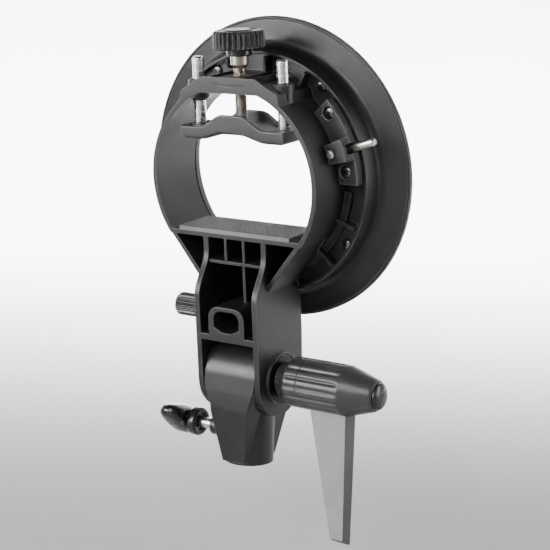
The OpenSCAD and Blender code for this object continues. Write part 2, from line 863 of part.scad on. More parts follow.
module umbrella_knob() {
    color("#2b2c2e") at_tube() difference() {
        union() {
            translate([umb_knob_x, 0, 0]) rotate([0, -90, 0])
                linear_extrude(umb_knob_len - 1) fluted(umb_knob_r, 18, 0.6);
            cone_x(umb_knob_x - umb_knob_len, umb_knob_x - umb_knob_len + 1, umb_knob_r - 1.6,
                   umb_knob_r - 0.7);
        }
        along_x(umb_knob_x - 5 - seat, umb_knob_x + cut, umb_screw_r + seat);
    }
}

// Tilt bolt and lever

module tilt_bolt() {
    color("silver") about_pivot() {
        along_x(-fork_x - washer_t - bolt_head_t, -fork_x - washer_t, bolt_head_r);
        along_x(-fork_x - washer_t, bolt_end, bolt_r);
    }
}

module flat_washer(x0, r_out, r_in) {
    difference() {
        along_x(x0, x0 + washer_t, r_out);
        along_x(x0 - cut, x0 + washer_t + cut, r_in);
    }
}

module bolt_washer() {
    color("silver") about_pivot() flat_washer(-fork_x - washer_t, bolt_head_r + 2, bolt_r + seat);
}

module thrust_washer() {
    color("#17181a") about_pivot() flat_washer(thrust_in, thrust_r, bolt_r + seat);
}

module lever_hub() {
    color("#34353a") at_axis() difference() {
        union() {
            along_x(hub_in + gap, barrel_in + 2, hub_r);
            translate([barrel_in - 1, 0, 0]) rotate([90, 0, 90])
                linear_extrude(hub_out - barrel_in + 1) fluted(hub_r, 12, 0.7);
        }
        along_x(0, bolt_end + 0.5, bolt_r + run);
        along_x(bolt_end + 2, hub_out + cut, lever_screw_r + seat);
    }
}

module lever_screw() {
    color("silver") at_axis() {
        along_x(bolt_end + 2, lever_screw_head_x, lever_screw_r);
        along_x(lever_screw_head_x, lever_screw_head_x + 3.5, cavity_r - 0.4);
    }
}

module lever_spring() {
    color("#9c9c9c") at_axis() difference() {
        along_x(shoulder_x + shoulder_t, lever_screw_head_x, lever_screw_r + 1.7);
        along_x(0, nose_out, lever_screw_r + 0.4);
    }
}

module lever_barrel() {
    color("#2a2b2e") at_axis() difference() {
        union() {
            cone_x(barrel_in, barrel_in + 1.2, barrel_r - 1.2, barrel_r);
            translate([barrel_in + 1.2, 0, 0]) rotate([90, 0, 90])
                linear_extrude(barrel_out - barrel_in - 1.2) fluted(barrel_r, 16, 0.9);
            cone_x(barrel_out, nose_out, barrel_r, nose_r);
        }
        along_x(barrel_in - cut, shoulder_x, hub_r + run);
        along_x(barrel_in, nose_out, lever_screw_r + run);
        along_x(shoulder_x + shoulder_t, nose_out + cut, cavity_r);
        // Seat for the lever arm's foot
        block(arm_in, arm_out, -arm_t / 2, arm_t / 2, -barrel_r - cut, -barrel_r + 2.2);
    }
}

module lever_arm() {
    side = [[-arm_t / 2, -barrel_r + 2.2], [arm_t / 2, -barrel_r + 2.2],
            [arm_tip_t / 2, -arm_reach - arm_tip_slant], [-arm_tip_t / 2, -arm_reach]];
    face = [[arm_in, -barrel_r + 2.2], [arm_out, -barrel_r + 2.2],
            [arm_out, -arm_reach - arm_tip_slant], [arm_out - arm_tip_w, -arm_reach - arm_tip_slant]];
    color("#4a4b4e") at_axis() intersection() {
        slab_x(arm_in - cut, arm_out + cut) polygon(side);
        slab_y(-arm_t, arm_t) polygon(face);
    }
}

module lever_cap() {
    color("#1e1f21") at_axis() {
        along_x(nose_out - 2.5, nose_out, cavity_r - seat);
        along_x(nose_out, cap_out - 1, cap_r);
        cone_x(cap_out - 1, cap_out, cap_r, cap_r - 1.2);
    }
}

stand_adapter();
friction_discs();
lock_insert();
pressure_pad();
lock_screw();
lock_handle();
main_frame();
dish_ring();
mount_plate();
mount_screws();
frame_screws();
platform_pad();
bridge_nut();
guide_bushes();
latch_housing();
latch_screws();
latch_pin();
latch_carrier();
release_rod();
latch_spring();
clamp_jaw();
jaw_plate();
jaw_pad();
guide_rods();
clamp_screw();
clamp_knob();
retaining_washer();
umbrella_insert();
umbrella_pad();
umbrella_screw();
umbrella_knob();
tilt_bolt();
bolt_washer();
thrust_washer();
lever_hub();
lever_screw();
lever_spring();
lever_barrel();
lever_arm();
lever_cap();
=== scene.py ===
# %% [markdown]
# # Umbrella swivel bracket
# This lesson dresses a finished mechanical model. The model is already correct in its
# sizes and joints, so every cell asks one question about a real piece: what is it, how
# is it made in a factory, and which of Blender's tools gives that look with little work.
#
# The first cell loads the fixed frame and keeps its box.

# %% Load the frame
import bmesh
import bpy
import json
import math
from mathutils import Matrix, Vector


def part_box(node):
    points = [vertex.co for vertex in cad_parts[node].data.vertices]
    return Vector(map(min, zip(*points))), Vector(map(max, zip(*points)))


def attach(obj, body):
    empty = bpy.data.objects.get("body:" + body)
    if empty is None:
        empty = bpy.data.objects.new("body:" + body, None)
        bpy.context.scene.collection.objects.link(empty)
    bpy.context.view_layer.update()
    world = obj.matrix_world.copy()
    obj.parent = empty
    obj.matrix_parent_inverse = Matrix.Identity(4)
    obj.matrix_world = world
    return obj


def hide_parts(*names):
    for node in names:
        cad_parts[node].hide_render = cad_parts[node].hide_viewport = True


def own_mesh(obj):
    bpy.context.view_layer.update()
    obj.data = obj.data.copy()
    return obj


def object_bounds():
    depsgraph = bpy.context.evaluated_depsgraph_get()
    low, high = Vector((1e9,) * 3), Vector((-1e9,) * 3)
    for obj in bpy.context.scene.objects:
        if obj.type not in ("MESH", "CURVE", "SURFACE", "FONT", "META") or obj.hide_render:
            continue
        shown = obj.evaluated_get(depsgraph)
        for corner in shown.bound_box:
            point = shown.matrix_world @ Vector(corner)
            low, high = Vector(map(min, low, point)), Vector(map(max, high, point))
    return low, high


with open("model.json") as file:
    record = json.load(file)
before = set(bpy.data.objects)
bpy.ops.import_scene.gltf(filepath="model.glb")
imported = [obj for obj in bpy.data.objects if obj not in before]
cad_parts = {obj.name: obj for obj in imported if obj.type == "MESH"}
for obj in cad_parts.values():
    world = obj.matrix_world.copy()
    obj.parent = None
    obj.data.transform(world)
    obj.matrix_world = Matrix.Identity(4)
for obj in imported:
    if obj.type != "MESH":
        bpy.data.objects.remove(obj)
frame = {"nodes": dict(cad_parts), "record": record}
cad_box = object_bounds()
record = frame["record"]
body_of = {n: b for b, names in record["behaviour"]["bodies"].items() for n in names}
slot_of = {s["node"]: s["material_slot"] for s in record["subparts"]}
mm = 0.001

# %% Objects and meshes
def new_object(name, data):
    """An object that is in the scene."""
    made = bpy.data.objects.new(name, data)
    bpy.context.scene.collection.objects.link(made)
    return made

def mesh_from(bm, name):
    """A plain mesh from a finished bmesh."""
    mesh = bpy.data.meshes.new(name)
    bm.to_mesh(mesh)
    bm.free()
    return mesh

# %% [markdown]
# Half of the bracket is tilted, and the other half hangs straight. Each piece is easier
# to describe in a frame of its own, where one axis runs along the piece. The record holds
# what is needed: the tilt joint's place, and the place and direction of the front mount.

# %% Working frames
def frame_matrix(origin, x, y, z):
    """A matrix that carries local axes x, y and z to their places on the object."""
    m = Matrix((x, y, z)).transposed().to_4x4()
    m.translation = origin
    return m

joints = {j["name"]: j for j in record["behaviour"]["joints"]}
mounts = {m["name"]: m for m in record["mounts"]}
pivot = Vector(joints["tilt"]["pos_m"])
side = Vector((1, 0, 0))
front = Vector(mounts["accessory_mount"]["axis"]).normalized()
head_up = side.cross(front)
mount_ahead = 29.25  # the front mount stands this far ahead of the collar's middle
ring_centre = Vector(mounts["accessory_mount"]["pos_m"]) - front * mount_ahead * mm
ring_frame = frame_matrix(ring_centre, side, front, head_up)
print("tilt axis at", [round(v / mm, 1) for v in pivot],
      "ring centre at", [round(v / mm, 1) for v in ring_centre])

# %% Measure a node in a working frame
def measured(node, place):
    """Lowest and highest corner of a node, in the axes of a working frame."""
    back = place.inverted()
    points = [back @ v.co for v in frame["nodes"][node].data.vertices]
    low = Vector([min(p[i] for p in points) for i in range(3)])
    high = Vector([max(p[i] for p in points) for i in range(3)])
    return low, high

def axis_frame(node, direction, through=None):
    """A working frame whose Z runs along a turned piece, from the start of the piece."""
    z = Vector(direction).normalized()
    x = side if abs(z.dot(side)) < 0.9 else Vector((0, 0, 1))
    y = z.cross(x).normalized()
    x = y.cross(z)
    low, high = measured(node, frame_matrix(Vector(), x, y, z))
    centre = Vector(through) if through else x * (low.x + high.x) / 2 + y * (low.y + high.y) / 2
    start = centre + z * (low.z - centre.dot(z))
    return frame_matrix(start, x, y, z), high.z - low.z

def lathe_frame(node, direction, through=None):
    """The same, with the piece's length in millimetres."""
    place, length = axis_frame(node, direction, through)
    return place, length / mm

def half_width(node, place):
    """Half of a node's width across its axis, in millimetres."""
    low, high = measured(node, place)
    return (high.x - low.x) / 2 / mm

# %% [markdown]
# ## The camera
# A long lens from behind and to the left gives a calm, almost parallel view. The camera
# is built from its three directions, so its slight roll is a plain number.

# %% Camera
turn, rise, roll = math.radians(34.07), math.radians(9.8), math.radians(1.4)
look = Vector((-math.sin(turn) * math.cos(rise), math.cos(turn) * math.cos(rise),
               -math.sin(rise)))
level = Vector((math.cos(turn), math.sin(turn), 0))
upward = level.cross(look)
camera_x = level * math.cos(roll) + upward * math.sin(roll)
camera_y = upward * math.cos(roll) - level * math.sin(roll)
aim = Vector((0.0091, 0.0062, 0.0971))
camera_distance = 0.7824
camera = new_object("camera", bpy.data.cameras.new("camera"))
camera.matrix_world = frame_matrix(aim - look * camera_distance, camera_x, camera_y, -look)
camera.data.lens = 100
camera.data.sensor_width = 36
camera.data.shift_x = 0.0011
camera.data.shift_y = 0.0034
bpy.context.scene.camera = camera
print("camera stands", round(camera_distance, 2), "m from its aim")

# %% [markdown]
# ## Finishes
# Nothing on this tool is one flat colour. Moulded plastic has a fine grain from the
# mould, and its gloss wanders a little; turned steel has rings round its axis. Each
# finish is a small node tree that reads Object coordinates, so it stays fixed to the
# piece. The helpers below keep the trees short.

# %% Node helpers
def new_finish(name):
    """A material with a shader in it, and a shorthand for adding and joining nodes."""
    finish = bpy.data.materials.new(name)
    finish.use_nodes = True
    tree = finish.node_tree
    shader = tree.nodes["Principled BSDF"]

    def add(kind, **values):
        node = tree.nodes.new(kind)
        for key, value in values.items():
            if key in node.inputs:
                node.inputs[key].default_value = value
            else:
                setattr(node, key, value)
        return node
    return finish, tree, shader, add

def ramp(add, low, high, start=0.35, end=0.65):
    """A colour ramp between two greys or colours."""
    node = add("ShaderNodeValToRGB")
    for stop, position, value in zip(node.color_ramp.elements, (start, end), (low, high)):
        stop.position = position
        stop.color = (*value, 1) if hasattr(value, "__len__") else (value, value, value, 1)
    return node

# %% [markdown]
# Moulded plastic: a broad noise moves the colour and the gloss by a few hundredths, and
# a fine noise is the sandblasted grain of the mould, as bump only. A second mix gives
# faint rubbed patches, as on a tool that is carried in a bag.

# %% Moulded plastic
def moulded(name, colour, gloss=0.42, grain=0.25, grain_size=0.45, patch=0.18, coat=0.0):
    finish, tree, shader, add = new_finish(name)
    link = tree.links.new
    where = add("ShaderNodeTexCoord")
    broad = add("ShaderNodeTexNoise", Scale=38.0, Detail=3.0, Roughness=0.6)
    rubbed = add("ShaderNodeTexNoise", Scale=150.0, Detail=5.0, Roughness=0.7)
    fine = add("ShaderNodeTexNoise", Scale=1 / (grain_size * mm), Detail=2.0, Roughness=0.5)
    for noise in (broad, rubbed, fine):
        link(where.outputs["Object"], noise.inputs["Vector"])
    dark = ramp(add, [c * (1 - patch) for c in colour], [c * (1 + patch) for c in colour])
    link(broad.outputs["Fac"], dark.inputs["Fac"])
    mix = add("ShaderNodeMix", data_type="RGBA", blend_type="MIX")
    wear = ramp(add, 0.0, 0.16, 0.58, 0.78)
    link(rubbed.outputs["Fac"], wear.inputs["Fac"])
    link(wear.outputs["Color"], mix.inputs["Factor"])
    link(dark.outputs["Color"], mix.inputs[6])
    mix.inputs[7].default_value = (*[min(1, c * 1.8 + 0.01) for c in colour], 1)
    link(mix.outputs[2], shader.inputs["Base Color"])
    rough = ramp(add, gloss - 0.05, gloss + 0.07, 0.3, 0.7)
    link(rubbed.outputs["Fac"], rough.inputs["Fac"])
    link(rough.outputs["Color"], shader.inputs["Roughness"])
    bump = add("ShaderNodeBump", Strength=grain, Distance=0.06 * mm)
    link(fine.outputs["Fac"], bump.inputs["Height"])
    link(bump.outputs["Normal"], shader.inputs["Normal"])
    shader.inputs["Specular IOR Level"].default_value = 0.5
    shader.inputs["Coat Weight"].default_value = coat
    shader.inputs["Coat Roughness"].default_value = 0.12
    return finish

# %% [markdown]
# Metal: almost all of a metal's look is in its gloss. Long thin noise, stretched along
# one axis, gives the marks of drawing or brushing; round rings come from turning.

# %% Metal
def metal(name, colour, gloss=0.25, stretch=(1, 1, 30), marks=900.0, depth=0.12, spots=0.1):
    finish, tree, shader, add = new_finish(name)
    link = tree.links.new
    where = add("ShaderNodeTexCoord")
    mapping = add("ShaderNodeMapping")
    mapping.inputs["Scale"].default_value = stretch
    link(where.outputs["Object"], mapping.inputs["Vector"])
    drawn = add("ShaderNodeTexNoise", Scale=marks / max(stretch), Detail=4.0, Roughness=0.65)
    link(mapping.outputs["Vector"], drawn.inputs["Vector"])
    broad = add("ShaderNodeTexNoise", Scale=210.0, Detail=4.0, Roughness=0.7)
    link(where.outputs["Object"], broad.inputs["Vector"])
    tint = ramp(add, [c * (1 - spots) for c in colour], [min(1, c * (1 + spots)) for c in colour])
    link(broad.outputs["Fac"], tint.inputs["Fac"])
    link(tint.outputs["Color"], shader.inputs["Base Color"])
    rough = ramp(add, max(0.02, gloss - 0.07), gloss + 0.09, 0.3, 0.7)
    link(drawn.outputs["Fac"], rough.inputs["Fac"])
    link(rough.outputs["Color"], shader.inputs["Roughness"])
    bump = add("ShaderNodeBump", Strength=depth, Distance=0.03 * mm)
    link(drawn.outputs["Fac"], bump.inputs["Height"])
    link(bump.outputs["Normal"], shader.inputs["Normal"])
    shader.inputs["Metallic"].default_value = 1.0
    return finish

# %% The finishes of this bracket
finishes = {
    "frame_plastic": moulded("frame_plastic", (0.013, 0.0133, 0.014), 0.4, 0.30, 0.5),
    "frame_edge": moulded("frame_edge", (0.045, 0.046, 0.048), 0.36, 0.15, 0.5),
    "adapter_plastic": moulded("adapter_plastic", (0.01, 0.0104, 0.0112), 0.34, 0.22, 0.5),
    "adapter_edge": moulded("adapter_edge", (0.024, 0.025, 0.026), 0.34, 0.12, 0.5),
    "dish_plastic": moulded("dish_plastic", (0.012, 0.012, 0.0135), 0.38, 0.20, 0.5, 0.12),
    "dish_edge": moulded("dish_edge", (0.045, 0.045, 0.048), 0.34, 0.10, 0.5),
    "latch_plastic": moulded("latch_plastic", (0.03, 0.031, 0.034), 0.38, 0.30, 0.5),
    "latch_edge": moulded("latch_edge", (0.08, 0.08, 0.083), 0.36, 0.12, 0.5),
    "jaw_plastic": moulded("jaw_plastic", (0.02, 0.0205, 0.023), 0.34, 0.25, 0.5),
    "jaw_edge": moulded("jaw_edge", (0.06, 0.06, 0.063), 0.32, 0.12, 0.5),
    "knob_plastic": moulded("knob_plastic", (0.012, 0.0125, 0.0135), 0.3, 0.18, 0.6, coat=0.15),
    "lever_plastic": moulded("lever_plastic", (0.04, 0.041, 0.043), 0.34, 0.18, 0.6, coat=0.1),
    "arm_grey": moulded("arm_grey", (0.3, 0.3, 0.303), 0.4, 0.25, 0.5, 0.08),
    "arm_edge": moulded("arm_edge", (0.062, 0.062, 0.065), 0.4, 0.15, 0.5, 0.08),
    "cap_plastic": moulded("cap_plastic", (0.01, 0.011, 0.011), 0.28, 0.06, 0.9, coat=0.2),
    "handle_plastic": moulded("handle_plastic", (0.006, 0.006, 0.007), 0.28, 0.05, 0.9, coat=0.3),
    "bush_plastic": moulded("bush_plastic", (0.01, 0.01, 0.01), 0.40, 0.15, 0.5),
    "pad_rubber": moulded("pad_rubber", (0.17, 0.17, 0.166), 0.62, 0.45, 0.35, 0.12),
    "jaw_rubber": moulded("jaw_rubber", (0.018, 0.018, 0.018), 0.70, 0.50, 0.35),
    "friction_fibre": moulded("friction_fibre", (0.10, 0.075, 0.055), 0.80, 0.90, 0.30, 0.3),
    "plate_metal": metal("plate_metal", (0.10, 0.10, 0.105), 0.36, (1, 1, 1), 1600.0, 0.2),
    "screw_steel": metal("screw_steel", (0.62, 0.62, 0.61), 0.24, (1, 1, 1), 1500.0),
    "black_screw": metal("black_screw", (0.16, 0.16, 0.165), 0.26, (1, 1, 1), 1500.0),
    "brass": metal("brass", (0.62, 0.46, 0.22), 0.28, (1, 1, 1), 1500.0),
    "latch_steel": metal("latch_steel", (0.74, 0.71, 0.65), 0.30, (12, 1, 1), 1500.0, 0.2),
    "spring_steel": metal("spring_steel", (0.50, 0.50, 0.50), 0.30, (1, 1, 1), 2500.0),
    "jaw_metal": metal("jaw_metal", (0.66, 0.65, 0.62), 0.42, (1, 1, 1), 2200.0, 0.9, 0.18),
    "rod_chrome": metal("rod_chrome", (0.95, 0.95, 0.95), 0.24, (1, 1, 10), 500.0, 0.03, 0.03),
    "thread_steel": metal("thread_steel", (0.4, 0.37, 0.33), 0.34, (1, 1, 1), 1800.0, 0.3, 0.2),
    "washer_black": metal("washer_black", (0.045, 0.045, 0.048), 0.40, (1, 1, 1), 1500.0),
}
print("finishes:", len(finishes))

# %% [markdown]
# ## Taking a piece over
# The frame's own meshes are never changed. A piece that needs softer corners is a copy:
# loose triangles are merged, flat areas are joined again, and the copy is bevelled. On a
# real moulding every corner has a small radius, because sharp steel corners in a mould
# wear out and plastic won't fill them. That thin bright line along each edge is what
# makes a render look like plastic. The Bevel modifier can give its new faces a second
# material, so worn, lighter edges come with it.

# %% Taking over
def take_over(mesh, node, *finish_names):
    """Turns a finished mesh into a piece that stands for a node."""
    piece = new_object(node + "_piece", mesh)
    names = finish_names or (slot_of[node],)
    for i, finish_name in enumerate(names):
        if i < len(mesh.materials):
            mesh.materials[i] = finishes[finish_name]
        else:
            mesh.materials.append(finishes[finish_name])
    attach(piece, body_of[node])
    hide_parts(node)
    print(f"{piece.name}: {len(mesh.polygons)} faces, {open_edges(mesh)} open edges")
    return piece

def smooth_shade(mesh, sharp_over):
    """Smooth shading, with edges over an angle in degrees kept sharp."""
    for face in mesh.polygons:
        face.use_smooth = True
    mesh.set_sharp_from_angle(angle=math.radians(sharp_over))

def baked(object_):
    """The evaluated shape of an object as one plain mesh; the object itself goes."""
    graph = bpy.context.evaluated_depsgraph_get()
    mesh = bpy.data.meshes.new_from_object(object_.evaluated_get(graph), depsgraph=graph)
    old = object_.data
    bpy.data.objects.remove(object_)
    if old.users == 0:
        bpy.data.meshes.remove(old)
    return mesh

def open_edges(mesh):
    """How many edges don't have two faces. A closed piece has none."""
    bm = bmesh.new()
    bm.from_mesh(mesh)
    count = sum(1 for e in bm.edges if len(e.link_faces) != 2)
    bm.free()
    return count

def merged_copy(node):
    """A node's mesh with its loose triangles merged and its flat areas cleaned."""
    mesh = frame["nodes"][node].data.copy()
    bm = bmesh.new()
    bm.from_mesh(mesh)
    bmesh.ops.remove_doubles(bm, verts=bm.verts, dist=2e-6)
    bmesh.ops.dissolve_degenerate(bm, edges=bm.edges, dist=1e-6)
    bmesh.ops.dissolve_limit(bm, angle_limit=math.radians(0.4), verts=bm.verts, edges=bm.edges)
    bmesh.ops.triangulate(bm, faces=bm.faces, ngon_method="BEAUTY")
    bm.to_mesh(mesh)
    bm.free()
    return mesh

def cut_out(body, cutter):
    """Takes a solid out of an object, as a modifier."""
    knife = body.modifiers.new("cut", "BOOLEAN")
    knife.object, knife.solver = cutter, "EXACT"

def softened(node, width, *finish_names, segments=2, cut_by=()):
    """A bevelled copy of a node. cut_by are solids taken out of it first."""
    names = finish_names or (slot_of[node],)
    work = new_object("work", merged_copy(node))
    work.data.materials.clear()
    for n in names:
        work.data.materials.append(finishes[n])
    for cutter in cut_by:
        cut_out(work, cutter)
    bevel = work.modifiers.new("bevel", "BEVEL")
    bevel.width = width * mm
    bevel.segments = segments
    bevel.limit_method = "ANGLE"
    bevel.angle_limit = math.radians(32)
    bevel.use_clamp_overlap = False
    bevel.material = 1 if len(names) > 1 else -1
    mesh = baked(work)
    for cutter in cut_by:
        bpy.data.objects.remove(cutter)
    smooth_shade(mesh, 30)
    shaded = new_object("shaded", mesh)
    weigh = shaded.modifiers.new("weigh", "WEIGHTED_NORMAL")
    weigh.keep_sharp = True
    mesh = baked(shaded)
    return take_over(mesh, node, *names)

# %% [markdown]
# ## Turned and grooved pieces
# Knobs, screws and the lever barrel are all bodies of revolution. The lathe helper turns
# an outline of (place along the axis, radius) pairs. The outline starts and ends on the
# axis, or closes on itself when the piece is a tube.

# %% A lathe
def lathe(outline, steps, closed=False, row=None):
    """Turns an outline round local Z, in millimetres. row is the longest step along it."""
    points = []
    pairs = list(zip(outline, outline[1:] + ([outline[0]] if closed else [])))
    for (z0, r0), (z1, r1) in pairs:
        parts = max(1, math.ceil(math.hypot(z1 - z0, r1 - r0) / row)) if row else 1
        points += [(z0 + (z1 - z0) * i / parts, r0 + (r1 - r0) * i / parts) for i in range(parts)]
    if not closed:
        points.append(outline[-1])
    bm = bmesh.new()
    rings = []
    for z, r in points:
        if r < 1e-6:
            rings.append([bm.verts.new((0, 0, z * mm))])
        else:
            rings.append([bm.verts.new((r * mm * math.cos(a), r * mm * math.sin(a), z * mm))
                          for a in (2 * math.pi * k / steps for k in range(steps))])
    for low, high in zip(rings, rings[1:] + ([rings[0]] if closed else [])):
        for k in range(steps):
            j = (k + 1) % steps
            if len(low) == 1:
                corners = [low[0], high[j], high[k]]
            elif len(high) == 1:
                corners = [low[k], low[j], high[0]]
            else:
                corners = [low[k], low[j], high[j], high[k]]
            bm.faces.new(corners)
    bmesh.ops.recalc_face_normals(bm, faces=bm.faces)
    return mesh_from(bm, "turned")

def rounded(outline, radius, steps=4):
    """Rounds the inner corners of an outline with short arcs."""
    result = [outline[0]]
    for before, here, after in zip(outline, outline[1:], outline[2:]):
        b, h, a = Vector(before), Vector(here), Vector(after)
        if min((b - h).length, (a - h).length) < 1e-6:
            result.append(here)
            continue
        cut_length = min(radius, (b - h).length * 0.45, (a - h).length * 0.45)
        p, q = h + (b - h).normalized() * cut_length, h + (a - h).normalized() * cut_length
        for i in range(steps + 1):
            t = i / steps
            result.append(tuple(p * (1 - t) ** 2 + h * 2 * t * (1 - t) + q * t * t))
    return result + [outline[-1]]

# %% [markdown]
# Flutes, serrations and screw threads are one idea: the surface of a turned body goes in
# and out as you go round it. With a twist along the axis, a single groove becomes a
# screw thread. So one Geometry Nodes tree cuts them all. Its inputs are the number of
# grooves, their depth, where they start and end, and the twist. "Core" keeps the bore of
# a knob smooth while its outside is fluted.

# %% A short way to build trees
class Tree:
    """A geometry tree. Its first input is the geometry and its last is the finish."""

    def __init__(self, name, *sockets):
        self.group = bpy.data.node_groups.new(name, "GeometryNodeTree")
        face = self.group.interface
        for socket, kind in (("Geometry", "Geometry"), *sockets, ("Finish", "Material")):
            face.new_socket(name=socket, in_out="INPUT", socket_type="NodeSocket" + kind)
        face.new_socket(name="Geometry", in_out="OUTPUT", socket_type="NodeSocketGeometry")
        self.new, self.link = self.group.nodes.new, self.group.links.new
        self.inputs = self.new("NodeGroupInput").outputs

    def calc(self, operation, *values, clamp=False):
        """A Math node. Each value is a number or another node's output."""
        node = self.new("ShaderNodeMath")
        node.operation, node.use_clamp = operation, clamp
        for socket, value in zip(node.inputs, values):
            if hasattr(value, "links"):
                self.link(value, socket)
            else:
                socket.default_value = value
        return node.outputs[0]

    def point(self):
        """The x, y and z of each point."""
        parts = self.new("ShaderNodeSeparateXYZ")
        self.link(self.new("GeometryNodeInputPosition").outputs[0], parts.inputs[0])
        return parts.outputs

    def moved(self, **offsets):
        """The geometry with its points moved along X, Y or Z."""
        move, place = self.new("ShaderNodeCombineXYZ"), self.new("GeometryNodeSetPosition")
        for axis, value in offsets.items():
            self.link(value, move.inputs[axis])
        self.link(self.inputs["Geometry"], place.inputs["Geometry"])
        self.link(move.outputs[0], place.inputs["Offset"])
        return place.outputs[0]

    def closed(self, geometry):
        """Every tree ends with real geometry and a finish on it."""
        realize = self.new("GeometryNodeRealizeInstances")
        paint = self.new("GeometryNodeSetMaterial")
        self.link(geometry, realize.inputs[0])
        self.link(realize.outputs[0], paint.inputs["Geometry"])
        self.link(self.inputs["Finish"], paint.inputs["Material"])
        self.link(paint.outputs[0], self.new("NodeGroupOutput").inputs[0])
        return self.group

# %% The groove tree
def groove_tree():
    tree = Tree("cut_grooves", ("Grooves", "Int"),
                *((name, "Float") for name in ("Depth", "Start", "End", "Fade", "Core",
                                               "Twist", "Narrowness")))
    calc, inputs = tree.calc, tree.inputs
    x, y, z = tree.point()
    radius = calc("SQRT", calc("ADD", calc("MULTIPLY", x, x), calc("MULTIPLY", y, y)))
    turns = calc("ADD", calc("MULTIPLY", calc("ARCTAN2", y, x), inputs["Grooves"]),
                 calc("MULTIPLY", z, inputs["Twist"]))
    wave = calc("POWER", calc("MULTIPLY_ADD", calc("COSINE", turns), 0.5, 0.5),
                inputs["Narrowness"])
    after_start = calc("DIVIDE", calc("SUBTRACT", z, inputs["Start"]), inputs["Fade"],
                       clamp=True)
    before_end = calc("DIVIDE", calc("SUBTRACT", inputs["End"], z), inputs["Fade"],
                      clamp=True)
    outside = calc("DIVIDE", calc("SUBTRACT", radius, inputs["Core"]), inputs["Depth"],
                   clamp=True)
    amount = calc("MULTIPLY", calc("MULTIPLY", wave, inputs["Depth"]),
                  calc("MULTIPLY", outside, calc("MULTIPLY", after_start, before_end)))
    inward = calc("DIVIDE", calc("MULTIPLY", amount, -1.0), calc("MAXIMUM", radius, 1e-6))
    return tree.closed(tree.moved(X=calc("MULTIPLY", x, inward), Y=calc("MULTIPLY", y, inward)))

grooves = groove_tree()

def run_tree(mesh, tree, place, **inputs):
    """Runs a tree on a mesh, bakes it, and puts the result in its place on the object."""
    work = new_object("work", mesh)
    modifier = work.modifiers.new("tree", "NODES")
    modifier.node_group = tree
    for item in tree.interface.items_tree:
        if item.item_type == "SOCKET" and item.in_out == "INPUT" and item.name in inputs:
            modifier[item.identifier] = inputs[item.name]
    result = baked(work)
    result.transform(place)
    return result

def cut_grooves(mesh, place, finish, count, depth, start, end, fade=0.8, core=0.0,
                twist=0.0, narrow=1.0):
    return run_tree(mesh, grooves, place, Grooves=count, Depth=depth * mm, Start=start * mm,
                    End=end * mm, Fade=fade * mm, Core=core * mm, Twist=twist / mm,
                    Narrowness=narrow, Finish=finishes[finish])

print("groove tree nodes:", len(grooves.nodes))

# %% [markdown]
# ## The stand adapter
# A moulded foot: a drum for the tilt joint on a round socket, joined by two tapering
# skirts. Its shape is right already, so it gets soft corners. The rims of the drum are
# larger radii than on the frame, because this piece is handled.

# %% Adapter, friction discs, lock insert, pressure pad
def eased(piece, direction, by=0.07):
    """Thins a sliding pin a little, so that flat facets don't rub in its bore."""
    place = axis_frame(piece.name.removesuffix("_piece"), direction)[0]
    back = place.inverted()
    for v in piece.data.vertices:
        p = back @ v.co
        r = math.hypot(p.x, p.y)
        if r > by * mm:
            v.co = place @ Vector((p.x * (1 - by * mm / r), p.y * (1 - by * mm / r), p.z))

softened("stand_adapter", 0.55, "adapter_plastic", "adapter_edge", segments=3)
softened("friction_discs", 0.15)
softened("lock_insert", 0.25)
eased(softened("pressure_pad", 0.35, segments=3), side)

# %% [markdown]
# ## The main frame
# One large moulding: collar, floor, ribs, bridge, platform, fork plates and tube. The
# flat rear band of the bridge carries a shallow crescent in the mould, a common way to
# hide a sink mark. It is cut out of the copy before the bevel, so its rim is rounded too.

# %% Crescent cutter
def prism(points, low, high, place):
    """A solid between two depths along local Y, from an outline in local X and Z."""
    bm = bmesh.new()
    near = [bm.verts.new((x * mm, low * mm, z * mm)) for x, z in points]
    far = [bm.verts.new((x * mm, high * mm, z * mm)) for x, z in points]
    bm.faces.new(near)
    bm.faces.new(list(reversed(far)))
    for i in range(len(points)):
        j = (i + 1) % len(points)
        bm.faces.new([near[j], near[i], far[i], far[j]])
    bmesh.ops.recalc_face_normals(bm, faces=bm.faces)
    mesh = mesh_from(bm, "prism")
    mesh.transform(place)
    return new_object("prism", mesh)

collar_rear, crescent_depth = -9.9, 0.35
crescent = [(-9.5 + 19 * i / 16, 48.6 - 1.6 * math.sin(math.pi * i / 16)) for i in range(17)]
crescent += [(9.5 - 19 * i / 16, 48.9 - 0.75 * math.sin(math.pi * i / 16)) for i in range(17)]
cutter = prism(crescent, collar_rear - 1, collar_rear + crescent_depth, ring_frame)
softened("main_frame", 0.32, "frame_plastic", "frame_edge", cut_by=[cutter])

# %% [markdown]
# ## The dish, the mount plate and the collar's small parts
# The dish is the piece that shapes the light's spill, so it is smooth and satin. The
# mount plate behind it is coated metal: plastic would wear at the bayonet.

# %% Dish, plate, bushes, nut, inserts and washers
softened("dish_ring", 0.35, "dish_plastic", "dish_edge", segments=3)
softened("mount_plate", 0.3)
softened("bridge_nut", 0.3)
softened("guide_bushes", 0.35)
softened("umbrella_insert", 0.25)
softened("umbrella_pad", 0.3, segments=3)
softened("bolt_washer", 0.2)
softened("thrust_washer", 0.2)

# %% [markdown]
# ## The latch
# A sprung pin locks a softbox in the front ring. Its housing is a curved cover with a
# raised box; a steel rod through the side pulls the pin back.

# %% Latch housing, pin, carrier and release rod
softened("latch_housing", 0.55, "latch_plastic", "latch_edge", segments=3)
eased(softened("latch_pin", 0.25, segments=3), front)
softened("latch_carrier", 0.2)
softened("release_rod", 0.3, segments=3)

# %% [markdown]
# ## The jaw
# The jaw presses the flash down on the platform. It is a moulded tray with a light metal
# sheet in it, which spreads the screw's force, and a thin rubber pad underneath.

